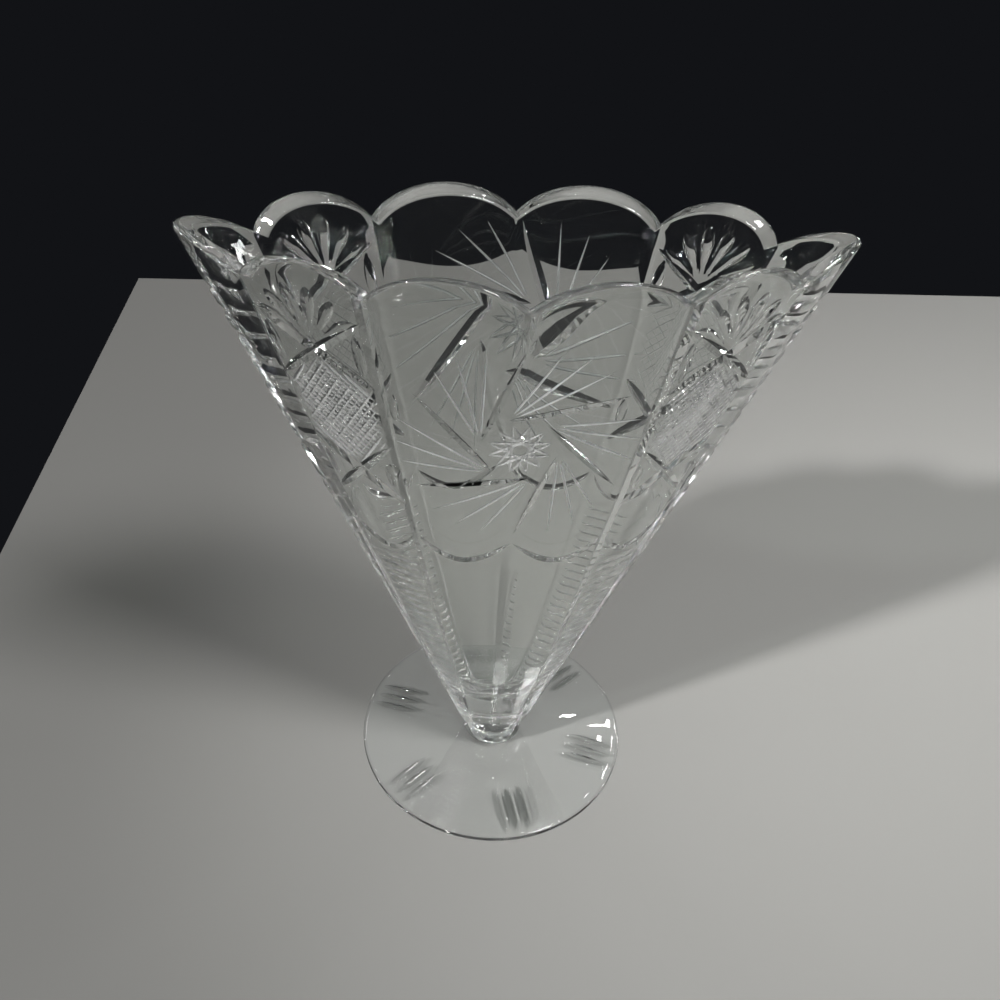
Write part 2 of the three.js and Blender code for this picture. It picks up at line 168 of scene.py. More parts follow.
# %% [markdown]
# The uncut bowl, the blank, is one closed skin of rings: up the outside, over the polished rim and down
# the inside to a rounded bottom. Its columns follow the panels, so the V grooves between them are true
# edges in the mesh and not a picture of edges. The groove in the middle of a face stops short of the
# star: it is a spear under the rim's notch, and starts again below the arcs as a stem, which is wider
# and deeper than the grooves beside it.

# %% The grooves between the panels
EDGE_CUT_WIDTH = 3.8
EDGE_CUT_NECK_SHARE = 0.35
SPEAR_LENGTH = {2: 4.0, 7: 11.0}
STEM_TOP = VASE_HEIGHT - 88.0
STEM_RUN_OUT = 9.0
STEM_GAIN = 1.6
GROOVE_TRACE = 0.05
PANEL_STEPS = 22


def groove_share(edge, height):
    """How much of a full V groove an edge has at a height."""
    rise = (height - NECK_HEIGHT) / (VASE_HEIGHT - NECK_HEIGHT)
    share = EDGE_CUT_NECK_SHARE + (1.0 - EDGE_CUT_NECK_SHARE) * rise
    if edge % PANELS in SPEAR_LENGTH:
        spear = 1.0 - (rim_height(0.0) - height) / SPEAR_LENGTH[edge % PANELS]
        stem = (STEM_TOP - height) / STEM_RUN_OUT
        share *= max(min(spear, 1.0), STEM_GAIN * min(stem, 1.0), GROOVE_TRACE)
    return share


def panel_shares(panel, height):
    """The groove's floor first, then evenly spaced shares between the two grooves."""
    half_groove = EDGE_CUT_WIDTH / 2 / panel_width(panel, height)
    first = groove_share(panel, height) * half_groove
    last = 1.0 - groove_share(panel + 1, height) * half_groove
    return np.concatenate([[0.0], np.linspace(first, last, PANEL_STEPS + 1)])


print("a groove at the neck has", round(groove_share(0, NECK_HEIGHT), 2), "of its full size")

# %% [markdown]
# The outside climbs from the rounded lower edge to the rim in one stack of rings. A ring isn't level: it
# rises with the scallops, more and more towards the rim, so no face has to be cut off there. The front
# was cut deeper than the back.

# %% The outside of the blank
BACK_EDGE_DEPTH = 0.75
FRONT_EDGE_DEPTH = 1.15
RIM_ROUND = 0.9
TIP_ROUND = 1.9
WALL_RISE = rim_height(0.0) - RIM_ROUND - NECK_HEIGHT


def nearness_to_tip(panel, shares):
    """1 at the two tips of the oval, 0 on every panel that isn't an end."""
    return 1.0 - np.abs(2.0 * shares - 1.0) if panel in END_PANELS else np.zeros_like(shares)


def rim_round(panel, shares):
    """The radius of the rim's edges: softer at the tips."""
    return RIM_ROUND + (TIP_ROUND - RIM_ROUND) * nearness_to_tip(panel, shares) ** 2


def outer_ring(climb):
    ring = []
    notch = NECK_HEIGHT + WALL_RISE * climb
    for panel in range(PANELS):
        shares = panel_shares(panel, notch)
        top = rim_height(shares) - rim_round(panel, shares)
        heights = NECK_HEIGHT + (top - NECK_HEIGHT) * climb
        angles = angle_of_share(panel, shares)
        points = outline(angles, heights)
        depth = FRONT_EDGE_DEPTH if EDGES[panel] > math.pi else BACK_EDGE_DEPTH
        groove = depth * (groove_share(panel, notch) - GROOVE_TRACE)
        points[0, :2] -= outline_normal(angles[0], heights[0])[:2] * groove
        ring.append(points)
    return np.concatenate(ring)


def neck_rings(steps=9):
    """The rounded lower edge of the bowl."""
    rings = []
    for turn in np.linspace(0.0, math.pi / 2, steps)[:-1]:
        lift = NECK_EDGE_ROUND * (1.0 - math.cos(turn))
        ring = outer_ring(lift / WALL_RISE)
        ring[:, :2] *= 1.0 - NECK_EDGE_ROUND * (1.0 - math.sin(turn)) / NECK_RADIUS
        rings.append(ring)
    return rings


lower_climbs = np.linspace(NECK_EDGE_ROUND / WALL_RISE, 0.76, 32)
upper_climbs = np.linspace(0.78, 1.0, 14)
outside_rings = neck_rings() + [outer_ring(climb) for climb in (*lower_climbs, *upper_climbs)]
print("outside:", len(outside_rings), "rings of", len(outside_rings[0]), "points")

# %% [markdown]
# The wall is thinnest at the rim and thickens below it, which is what makes a crystal bowl heavy. The rim
# itself slopes down to the inside, and both of its edges are rounded by polishing. The rounding is
# larger at the two tips.

# %% The inside and the rim
RIM_SIDE_WALL = 5.4
RIM_END_WALL = 5.6
WALL_GAIN = 2.35
WALL_GAIN_DEPTH = 31.0
TIP_GAIN_LOSS = 0.8
CAVITY_BOTTOM = NECK_HEIGHT + 15.0
CAVITY_ROUNDING = 14.0
NOTCH_SLOPE = 0.5
SCALLOP_SLOPE = 1.1
RIM_STEPS = 5


def inner_rim(shares):
    """The rim slopes down to the inside, most at the top of a scallop."""
    return rim_height(shares) - NOTCH_SLOPE - SCALLOP_SLOPE * (1.0 - (2.0 * shares - 1.0) ** 2)


def inner_ring(climb):
    ring = []
    for panel in range(PANELS):
        shares = panel_shares(panel, rim_height(0.0))
        top = inner_rim(shares) - rim_round(panel, shares)
        heights = CAVITY_BOTTOM + (top - CAVITY_BOTTOM) * climb
        near_rim = np.maximum(1.0 - (top - heights) / WALL_GAIN_DEPTH, 0.0)
        at_tip = TIP_GAIN_LOSS * nearness_to_tip(panel, shares) ** 0.5
        gain = WALL_GAIN * (1.0 - near_rim ** 2) * (1.0 - at_tip)
        angles = angle_of_share(panel, shares)
        points = outline(angles, heights, RIM_END_WALL + gain, RIM_SIDE_WALL + gain)
        up = np.minimum((heights - CAVITY_BOTTOM) / CAVITY_ROUNDING, 1.0)
        points[:, :2] *= np.sqrt(1.0 - (1.0 - up) ** 2)[:, None]
        ring.append(points)
    return np.concatenate(ring)


def rim_rings(outside, inside):
    """Rings from the outside's top over the sloping rim to the inside's top."""
    rounds = [rim_round(panel, panel_shares(panel, rim_height(0.0))) for panel in range(PANELS)]
    radius = np.concatenate(rounds)[:, None]
    inwards = unit((inside - outside) * np.array([1.0, 1.0, 0.0])) * radius
    up = np.array([0.0, 0.0, 1.0]) * radius
    turns = np.linspace(0.0, math.pi / 2, RIM_STEPS + 1)[1:]
    arcs = [(1.0 - math.cos(turn), math.sin(turn)) for turn in turns]
    outer_edge = [outside + inwards * aside + up * rise for aside, rise in arcs]
    inner_edge = [inside - inwards * aside + up * rise for aside, rise in arcs[::-1]]
    slope = inner_edge[0] - outer_edge[-1]
    middle = [outer_edge[-1] + slope * share for share in (0.33, 0.67)]
    return outer_edge + middle + inner_edge


bottom_climbs = np.linspace(0.03, 1.0, 10) ** 2 * 0.1
wall_climbs = np.linspace(0.13, 1.0, 26)
inside_climbs = np.concatenate([bottom_climbs, wall_climbs])
inside_rings = [inner_ring(climb) for climb in inside_climbs[::-1]]
blank_rings = outside_rings + rim_rings(outside_rings[-1], inside_rings[0]) + inside_rings
print("blank:", len(blank_rings), "rings of", len(blank_rings[0]), "points")

# %% [markdown]
# Rings become a mesh by joining each ring to the next with four-sided faces and closing both ends with a
# fan. The same helper makes the blank, the collar, the foot and every cutter. A cutter comes out with
# its faces pointing in or out, depending on which way its path runs, so the signed volume decides
# whether to flip it.

# %% From rings to a mesh
def skin(rings, first_end, last_end):
    """Points and faces of a closed skin over rings of equal length."""
    count, rows = len(rings[0]), len(rings)
    points = np.concatenate(list(rings) + [[first_end], [last_end]])
    index = np.arange(rows * count).reshape(rows, count)
    beside = np.roll(index, -1, axis=1)
    corners = [index[:-1], beside[:-1], beside[1:], index[1:]]
    walls = np.stack(corners, axis=-1).reshape(-1, 4).tolist()
    first, last = rows * count, rows * count + 1
    start_cap = [[first, b, a] for a, b in zip(index[0], beside[0])]
    end_cap = [[last, a, b] for a, b in zip(index[-1], beside[-1])]
    return points, walls + start_cap + end_cap


def signed_volume(points, faces):
    total = 0.0
    for face in faces:
        corner = points[face[0]]
        for second, third in zip(face[1:-1], face[2:]):
            total += corner @ np.cross(points[second], points[third])
    return total / 6.0


def mesh_object(name, points, faces):
    """A Blender object from millimetre points."""
    mesh = bpy.data.meshes.new(name)
    metres = (np.asarray(points) * MM).tolist()
    mesh.from_pydata(metres, [], [list(map(int, face)) for face in faces])
    piece = bpy.data.objects.new(name, mesh)
    bpy.context.scene.collection.objects.link(piece)
    return piece


blank_ends = [0.0, 0.0, NECK_HEIGHT], [0.0, 0.0, CAVITY_BOTTOM]
blank_points, blank_faces = skin(blank_rings, *blank_ends)
print("blank, cubic centimetres:", round(signed_volume(blank_points, blank_faces) / 1000, 1))

# %% [markdown]
# A cutting wheel leaves a groove like a boat: deepest in the middle, and rising to a point at both ends.
# A wheel with a sharp rim makes a V with flat sides, the mitre cut; a wheel with a round rim makes a
# hollow, the olive or lens cut. Real geometry is worth the trouble here, because light that bends at a
# real facet is what the eye reads as cut crystal. Each cutter is a short closed body along a path on
# the glass. It stands a little clear of the surface, and its ends stop just short of it.

# %% The cutting wheel
CUT_CLEAR = 0.7
END_LIFT = 0.02
ROUND_STEPS = 8
INNER_EDGE_FIRST = (3, 8)


def boat_depth(stations, depth, fullness=2.0, lean=1.0):
    """Depth along a cut: zero at both ends, and deepest where lean puts the middle."""
    share = np.linspace(0.0, 1.0, stations) ** lean
    return depth * (1.0 - np.abs(2.0 * share - 1.0) ** fullness) - END_LIFT


def wheel_cut(points, normals, sunk, half_angle=52.0, round_radius=None):
    """A closed cutter along points on a surface, as (points, faces)."""
    side = unit(np.cross(normals, np.gradient(points, axis=0)))
    if round_radius is None:
        across = np.array([1.0, -1.0, 0.0])
        reach = (sunk + CUT_CLEAR) * math.tan(math.radians(half_angle))
        rise = np.stack([np.full_like(sunk, CUT_CLEAR)] * 2 + [-sunk], axis=1)
        aside = reach[:, None] * across
    else:
        across = np.linspace(1.0, -1.0, ROUND_STEPS + 1)
        reach = np.sqrt(2.0 * round_radius * (sunk + CUT_CLEAR))
        aside = reach[:, None] * across
        rise = aside ** 2 / (2.0 * round_radius) - sunk[:, None]
    rings = points[:, None, :] + side[:, None, :] * aside[:, :, None]
    rings = rings + normals[:, None, :] * rise[:, :, None]
    cutter_points, faces = skin(list(rings), rings[0].mean(axis=0), rings[-1].mean(axis=0))
    if signed_volume(cutter_points, faces) < 0:
        faces = [face[::-1] for face in faces]
    return cutter_points, faces


def bowl_cut(angles, heights, sunk, **wheel):
    return wheel_cut(outline(angles, heights), outline_normal(angles, heights), sunk, **wheel)


def panel_angle(panel, aside, height):
    """The angle this many millimetres from a panel's middle, towards the end of the bowl."""
    towards = 1.0 if panel in INNER_EDGE_FIRST else -1.0
    return angle_of_share(panel, 0.5 + towards * aside / panel_width(panel, height))


cut_groups = {}
print("wheel ready: clearance", CUT_CLEAR, "mm")

# %% [markdown]
# The main motif on each face is a pinwheel. Six straight mitre cuts leave a small hub along tangents, so
# the star seems to turn. Between two arms three thin rays fan out from the start of an arm.
# The face is nearly flat there, so the star is laid out in plain x and height and then put on the glass.
# The two faces were cut by hand: the star on the back sits a little higher, is a little larger and has
# deeper, wider arms. Side -1 is the front and side 1 the back.

# %% The pinwheel on both faces
STAR_PLACE = {-1: (0.0, VASE_HEIGHT - 50.5), 1: (2.0, VASE_HEIGHT - 46.5)}
STAR_GROWTH = {-1: 1.0, 1: 1.1}
ARM_DEPTH = {-1: 0.85, 1: 1.0}
ARM_HALF_ANGLE = {-1: 50.0, 1: 60.0}
STAR_RADIUS = 33.0
HUB_RADIUS = 10.8
STAR_LEAD = math.radians(80.0)
RAY_TURNS_AND_LENGTHS = ((18.0, 31.0), (33.0, 29.0), (48.0, 26.0))
RAY_START = 2.5
RAY_DEPTH = 0.4
RAY_HALF_ANGLE = 42.0
STAR_RAYS = [f"star rays {ray}" for ray in range(len(RAY_TURNS_AND_LENGTHS))]


def angle_of_x(x, height, side):
    """The angle on the front or back face where the outside has this x."""
    width, depth, power = plan_at(height)
    across = np.sign(x) * (np.abs(x) / width) ** (power / 2.0)
    return side * np.arccos(across)


def face_cut(side, start, end, sunk, **wheel):
    """A straight cut on a face, between two places measured from the star's centre."""
    share = np.linspace(0.0, 1.0, len(sunk))[:, None]
    spots = (start + (end - start) * share) * STAR_GROWTH[side]
    middle, centre = STAR_PLACE[side]
    heights = centre + spots[:, 1]
    angles = angle_of_x(middle - side * spots[:, 0], heights, side)
    return bowl_cut(angles, heights, sunk, **wheel)


def polar(radius, angle):
    return np.array([radius * math.cos(angle), radius * math.sin(angle)])


cut_groups.update({name: [] for name in ["star arms"] + STAR_RAYS})
for side in (-1, 1):
    for arm in range(6):
        tip_angle = math.radians(90.0 + 60.0 * arm)
        start, tip = polar(HUB_RADIUS, tip_angle + STAR_LEAD), polar(STAR_RADIUS, tip_angle)
        sunk = boat_depth(18, ARM_DEPTH[side], fullness=2.6, lean=0.8)
        arm_cut = face_cut(side, start, tip, sunk, half_angle=ARM_HALF_ANGLE[side])
        cut_groups["star arms"].append(arm_cut)
        heading = math.atan2(*(tip - start)[::-1])
        for name, (turn, length) in zip(STAR_RAYS, RAY_TURNS_AND_LENGTHS):
            aim = heading + math.radians(turn)
            near, far = start + polar(RAY_START, aim), start + polar(length, aim)
            sunk = boat_depth(14, RAY_DEPTH, fullness=3.0, lean=0.6)
            cut_groups[name].append(face_cut(side, near, far, sunk, half_angle=RAY_HALF_ANGLE))
print("star arms:", len(cut_groups["star arms"]))
print("star rays:", sum(len(cut_groups[name]) for name in STAR_RAYS))

# %% [markdown]
# Inside the hub twelve lines join every fifth of twelve points on a circle. They make a small star with
# narrow points round an uncut middle. Lines that cross must not share a group, because one cutter must
# not run through its neighbour, so each of the six directions has a group of its own.

# %% The hub of the pinwheel
HUB_STAR_RADIUS = 8.9
HUB_HALF_STEP = math.radians(75.0)
HUB_LINE_DEPTH = 0.42
HUB_HALF_ANGLE = 52.0
HUB_LINES = [f"hub {turn}" for turn in range(6)]
for turn, name in enumerate(HUB_LINES):
    cut_groups[name] = []
    along = polar(1.0, math.radians(30.0 * turn))
    across = polar(1.0, math.radians(30.0 * turn + 90.0))
    aside, half = polar(HUB_STAR_RADIUS, HUB_HALF_STEP)
    sunk = boat_depth(10, HUB_LINE_DEPTH, fullness=4.0)
    for side in (-1, 1):
        for offset in (-aside, aside):
            start, end = across * offset - along * half, across * offset + along * half
            cut_groups[name].append(face_cut(side, start, end, sunk, half_angle=HUB_HALF_ANGLE))
print("hub lines:", sum(len(cut_groups[name]) for name in HUB_LINES))

# %% [markdown]
# Each side panel has a fan under its scallop: six petals that spread from one point.
# A round wheel makes them. It goes in deeper towards the rim, so each petal is a drop: a point below, a
# round end above. Petals that touch take turns in two groups.

# %% The fans under the side scallops
FAN_HEIGHT = VASE_HEIGHT - 23.5
FAN_PETALS = 6
FAN_SPREAD = 56.0
PETAL_START = 1.5
PETAL_LENGTH = 17.0
PETAL_SHOULDER = 0.68
PETAL_DEPTH = 1.15
PETAL_WHEEL = 1.5
petal_share = 1.0 - (1.0 - np.linspace(0.0, 1.0, 22)) ** 1.7
round_end = np.clip((petal_share - PETAL_SHOULDER) / (1.0 - PETAL_SHOULDER), 0.0, 1.0)
petal_width = np.minimum(petal_share / PETAL_SHOULDER, 1.0) * np.sqrt(1.0 - round_end ** 2)
petal_sunk = PETAL_DEPTH * petal_width ** 2 - END_LIFT
cut_groups["petals even"], cut_groups["petals odd"] = [], []
for panel in SIDE_PANELS:
    for petal, lean in enumerate(np.radians(np.linspace(-FAN_SPREAD, FAN_SPREAD, FAN_PETALS))):
        length = PETAL_LENGTH * (0.72 + 0.28 * math.cos(lean))
        out = PETAL_START + (length - PETAL_START) * petal_share
        heights = FAN_HEIGHT + out * math.cos(lean)
        angles = panel_angle(panel, out * math.sin(lean), heights)
        group = cut_groups["petals even" if petal % 2 == 0 else "petals odd"]
        group.append(bowl_cut(angles, heights, petal_sunk, round_radius=PETAL_WHEEL))
print("petals:", len(cut_groups["petals even"]) + len(cut_groups["petals odd"]))

# %% [markdown]
# Two crosses of mitre cuts divide a side panel into a fan above, a hatched field in the middle and plain
# triangles at the sides. Each triangle holds one upright olive cut.

# %% Crosses and olives
UPPER_CROSS = VASE_HEIGHT - 25.5
LOWER_CROSS = VASE_HEIGHT - 65.0
CROSS_RISE = 11.0
CROSS_DEPTH = 1.25
OLIVE_HALF_LENGTH = {UPPER_CROSS: 6.4, LOWER_CROSS: 4.6}
OLIVE_PLACE = 0.385
OLIVE_DEPTH = 0.9
OLIVE_WHEEL = 1.4
cut_groups.update({name: [] for name in ("crosses up", "crosses down", "olives")})
for panel in SIDE_PANELS:
    for centre, half in OLIVE_HALF_LENGTH.items():
        for name, slope in (("crosses up", 1.0), ("crosses down", -1.0)):
            share = np.linspace(0.02, 0.98, 18)
            heights = centre + slope * CROSS_RISE * (2.0 * share - 1.0)
            sunk = boat_depth(18, CROSS_DEPTH, fullness=4.0)
            cut_groups[name].append(bowl_cut(angle_of_share(panel, share), heights, sunk))
        for aside in (-1.0, 1.0):
            heights = np.linspace(centre - half, centre + half, 12)
            place = aside * OLIVE_PLACE * panel_width(panel, heights)
            angles = panel_angle(panel, place, heights)
            sunk = boat_depth(12, OLIVE_DEPTH)
            cut_groups["olives"].append(bowl_cut(angles, heights, sunk, round_radius=OLIVE_WHEEL))
print("cross cuts:", 2 * len(cut_groups["crosses up"]), "olives:", len(cut_groups["olives"]))

# %% [markdown]
# The field between the crosses is hatched with two sets of fine mitres that leave rows of small pyramids.
# Each line is clipped to the six-sided field, written in millimetres on the flattened panel. No two
# lines in a row are equally deep, because a hand held the glass against the wheel.

# %% The hatched fields
FRONT_PANELS = (5, 6, 7, 8)
HATCH_ROWS = 18
HATCH_SPACING = 1.65
HATCH_DEPTH = 0.3
BACK_HATCH_DEPTH = 0.09
HATCH_TURN = 50.0
HATCH_HALF_ANGLE = 60.0
HATCH_UNEVEN = 0.3
UNEVEN_STEP = 5.3
FIELD_MARGIN = 1.9
SHORTEST_LINE = 16
SAMPLES_PER_STATION = 24


def field_limit(height):
    """Half the width of the hatched field at a height, as a share of the panel's half width."""
    below = (UPPER_CROSS - height) / CROSS_RISE
    above = (height - LOWER_CROSS) / CROSS_RISE
    return np.clip(np.minimum(np.minimum(below, above), 1.0), 0.0, 1.0)


def hatch_line(panel, offset, turn):
    """One hatching cut, or None where the line misses the field."""
    along = polar(1.0, math.radians(turn))
    across = polar(1.0, math.radians(turn + 90.0))
    middle = (UPPER_CROSS + LOWER_CROSS) / 2.0
    travel = np.linspace(-40.0, 40.0, 641)
    aside = across[0] * offset + along[0] * travel
    heights = middle + across[1] * offset + along[1] * travel
    limit = field_limit(heights) * panel_width(panel, heights) / 2.0 - FIELD_MARGIN
    inside = np.flatnonzero((np.abs(aside) < limit) & (limit > 0.0))
    if len(inside) < SHORTEST_LINE:
        return None
    spots = np.linspace(inside[0], inside[-1], max(5, len(inside) // SAMPLES_PER_STATION))
    aside = np.interp(spots, np.arange(len(travel)), aside)
    heights = np.interp(spots, np.arange(len(travel)), heights)
    depth = HATCH_DEPTH if panel in FRONT_PANELS else BACK_HATCH_DEPTH
    uneven = 1.0 + HATCH_UNEVEN * math.sin(UNEVEN_STEP * offset + turn)
    sunk = boat_depth(len(spots), depth * uneven, fullness=8.0)
    angles = panel_angle(panel, aside, heights)
    return bowl_cut(angles, heights, sunk, half_angle=HATCH_HALF_ANGLE)


hatch_offsets = [row * HATCH_SPACING for row in range(-HATCH_ROWS, HATCH_ROWS + 1)]
for name, turn in (("hatch up", HATCH_TURN), ("hatch down", -HATCH_TURN)):
    lines = [hatch_line(panel, offset, turn) for panel in SIDE_PANELS for offset in hatch_offsets]
    cut_groups[name] = [line for line in lines if line is not None]
print("hatch cuts:", len(cut_groups["hatch up"]), "and", len(cut_groups["hatch down"]))

# %% [markdown]
# A hanging arc, a festoon, closes the cut part of each panel. Below it the middle panels are plain, and
# each side panel is a ladder of level lens cuts, one beside the other, down to the neck. Each end
# carries a column of larger round hollows, which make the beads along the outline; they stray a little
# in place, depth and tilt. Cuts that touch take turns in two groups.

# %% Festoons, ladders and end hollows
FESTOON_HEIGHT = VASE_HEIGHT - 87.0
FESTOON_SAG = 8.5
FESTOON_DEPTH = 0.9
LADDER_TOP = FESTOON_HEIGHT - FESTOON_SAG - 4.5
LADDER_STEP = 3.2
HOLLOW_TOP = VASE_HEIGHT - 17.0
HOLLOW_STEP = 6.9
LOWEST_CUT = NECK_HEIGHT + 9.0
LEVEL_STATIONS = 14
STRAY_ASIDE = 0.16
STRAY_TILT = 2.0


def level_cuts(name, panels, top, step, depth, round_radius, reach, uneven=0.0):
    """Columns of level hollows, shared out to two groups so that neighbours never meet in one."""
    even, odd = name + " even", name + " odd"
    cut_groups[even], cut_groups[odd] = [], []
    for panel in panels:
        for row, height in enumerate(np.arange(top, LOWEST_CUT, -step)):
            stray = uneven * math.sin(2.4 * row + panel)
            shares = 0.5 + STRAY_ASIDE * stray + np.linspace(-reach, reach, LEVEL_STATIONS)
            sunk = boat_depth(LEVEL_STATIONS, depth * (1.0 + stray), fullness=4.0)
            heights = height + np.linspace(-STRAY_TILT, STRAY_TILT, LEVEL_STATIONS) * stray
            angles = angle_of_share(panel, shares)
            hollow = bowl_cut(angles, heights, sunk, round_radius=round_radius)
            cut_groups[even if row % 2 == 0 else odd].append(hollow)
    print(name, len(cut_groups[even]) + len(cut_groups[odd]))


cut_groups["festoons"] = []
for panel in range(PANELS):
    share = np.linspace(0.0, 1.0, 18)
    heights = FESTOON_HEIGHT - FESTOON_SAG * (1.0 - (2.0 * share - 1.0) ** 2)
    sunk = boat_depth(18, FESTOON_DEPTH, fullness=4.0)
    cut_groups["festoons"].append(bowl_cut(angle_of_share(panel, share), heights, sunk))
level_cuts("ladder", SIDE_PANELS, LADDER_TOP, LADDER_STEP, depth=0.7, round_radius=2.6, reach=0.42)
level_cuts(
    "end hollows", END_PANELS, HOLLOW_TOP, HOLLOW_STEP,
    depth=0.7, round_radius=4.6, reach=0.34, uneven=0.35,
)

# %% [markdown]
# Crystal is clear all through, so its material is a glass with hardly any colour of its own. Detail comes
# from the finish: the outer faces are acid polished and very slightly uneven, and a cut keeps faint
# traces of the wheel. All finishes share one node group that puts out an uneven height and a mask of
# faint bloom, with its own values in each material.

# %% A shared node group for uneven polish
def socket(group, name, in_out, value=None):
    made = group.interface.new_socket(name=name, in_out=in_out, socket_type="NodeSocketFloat")
    if value is not None:
        made.default_value = value


def make_polish_group():
    group = bpy.data.node_groups.new("uneven polish", "ShaderNodeTree")
    socket(group, "Wave Scale", "INPUT", 60.0)
    socket(group, "Fine Scale", "INPUT", 900.0)
    socket(group, "Stretch", "INPUT", 1.0)
    socket(group, "Height", "OUTPUT")
    socket(group, "Bloom", "OUTPUT")
    nodes, links = group.nodes, group.links
    entry, leave = nodes.new("NodeGroupInput"), nodes.new("NodeGroupOutput")
    place = nodes.new("ShaderNodeTexCoord")
    squeeze = nodes.new("ShaderNodeCombineXYZ")
    stretch = nodes.new("ShaderNodeVectorMath")
    stretch.operation = "MULTIPLY"
    squeeze.inputs["X"].default_value = 1.0
    squeeze.inputs["Y"].default_value = 1.0
    links.new(entry.outputs["Stretch"], squeeze.inputs["Z"])
    links.new(place.outputs["Object"], stretch.inputs[0])
    links.new(squeeze.outputs[0], stretch.inputs[1])
    wave, fine = nodes.new("ShaderNodeTexNoise"), nodes.new("ShaderNodeTexNoise")
    wave.inputs["Detail"].default_value = 1.0
    fine.inputs["Detail"].default_value = 3.0
    for noise, scale in ((wave, "Wave Scale"), (fine, "Fine Scale")):
        links.new(stretch.outputs[0], noise.inputs["Vector"])
        links.new(entry.outputs[scale], noise.inputs["Scale"])
    links.new(wave.outputs["Fac"], leave.inputs["Height"])
    bloom = nodes.new("ShaderNodeMapRange")
    bloom.inputs["From Min"].default_value = 0.45
    bloom.inputs["From Max"].default_value = 0.75
    links.new(fine.outputs["Fac"], bloom.inputs["Value"])
    links.new(bloom.outputs["Result"], leave.inputs["Bloom"])
    return group


polish_group = make_polish_group()
print("node group:", polish_group.name, [item.name for item in polish_group.interface.items_tree])

# %% [markdown]
# The glass itself is a Principled shader with transmission. Its index of refraction, 1.545, is that of
# lead crystal, a little above window glass, so facets turn more light. Metallic, transmission and index
# stay plain numbers on the shader; only roughness, tint and bump come from the group, and a Bevel node
# takes the knife edge off every facet. Light that falls through cut glass makes noisy bright spots, so
# shadow and diffuse rays meet a plain grey filter in its place and the shadow stays soft.

# %% The crystal shader
CRYSTAL_INDEX = 1.545
BUMP_STRENGTH = 0.05
BUMP_HEIGHT = 0.0004
EDGE_SOFTNESS = 0.0002


def add_finish(nodes, links, shader, tints, roughness, scales, stretch):
    """Roughness, tint and bump from the shared group, over softened edges."""
    finish = nodes.new("ShaderNodeGroup")
    finish.node_tree = polish_group
    finish.inputs["Wave Scale"].default_value = scales[0]
    finish.inputs["Fine Scale"].default_value = scales[1]
    finish.inputs["Stretch"].default_value = stretch
    rough = nodes.new("ShaderNodeMapRange")
    rough.inputs["To Min"].default_value = roughness[0]
    rough.inputs["To Max"].default_value = roughness[1]
    links.new(finish.outputs["Bloom"], rough.inputs["Value"])
    links.new(rough.outputs["Result"], shader.inputs["Roughness"])
    colour = nodes.new("ShaderNodeMix")
    colour.data_type = "RGBA"
    colour.inputs["A"].default_value = (*tints[0], 1.0)
    colour.inputs["B"].default_value = (*tints[1], 1.0)
    links.new(finish.outputs["Bloom"], colour.inputs["Factor"])
    links.new(colour.outputs["Result"], shader.inputs["Base Color"])
    uneven = nodes.new("ShaderNodeBump")
    uneven.inputs["Strength"].default_value = BUMP_STRENGTH
    uneven.inputs["Distance"].default_value = BUMP_HEIGHT
    links.new(finish.outputs["Height"], uneven.inputs["Height"])
    rounded = nodes.new("ShaderNodeBevel")
    rounded.samples = 4
    rounded.inputs["Radius"].default_value = EDGE_SOFTNESS
    links.new(rounded.outputs["Normal"], uneven.inputs["Normal"])
    links.new(uneven.outputs["Normal"], shader.inputs["Normal"])


def let_lamps_through(nodes, links, shader, lamp_pass):
    """A plain filter for shadow and diffuse rays, the glass for all others."""
    ray = nodes.new("ShaderNodeLightPath")
    either = nodes.new("ShaderNodeMath")
    either.operation = "MAXIMUM"
    clear = nodes.new("ShaderNodeBsdfTransparent")
    clear.inputs["Color"].default_value = (*lamp_pass, 1.0)
    choice = nodes.new("ShaderNodeMixShader")
    links.new(ray.outputs["Is Shadow Ray"], either.inputs[0])
    links.new(ray.outputs["Is Diffuse Ray"], either.inputs[1])
    links.new(either.outputs[0], choice.inputs["Fac"])
    links.new(shader.outputs["BSDF"], choice.inputs[1])
    links.new(clear.outputs["BSDF"], choice.inputs[2])
    links.new(choice.outputs["Shader"], nodes["Material Output"].inputs["Surface"])


def make_crystal(name, tints, roughness, scales, stretch, lamp_pass, clearness=1.0):
    material = bpy.data.materials.new(name)
    material.use_nodes = True
    nodes, links = material.node_tree.nodes, material.node_tree.links
    shader = nodes["Principled BSDF"]
    shader.inputs["Metallic"].default_value = 0.0
    shader.inputs["IOR"].default_value = CRYSTAL_INDEX
    shader.inputs["Transmission Weight"].default_value = clearness
    add_finish(nodes, links, shader, tints, roughness, scales, stretch)
    let_lamps_through(nodes, links, shader, lamp_pass)
    print("material:", name, "clearness", clearness)
    return material


# %% [markdown]
# Five finishes come from this one maker. The polished skin and the wheel cuts are clear and smooth, and
# the foot is clearer still, because it is thin. The thin rays were left grey from the stone, so they are
# rough and pass less light. The hatching and the hub lie between the two: polished, but with so many
# edges that they look frosted from a step away. A pair of values gives the clean and the bloomed spots.

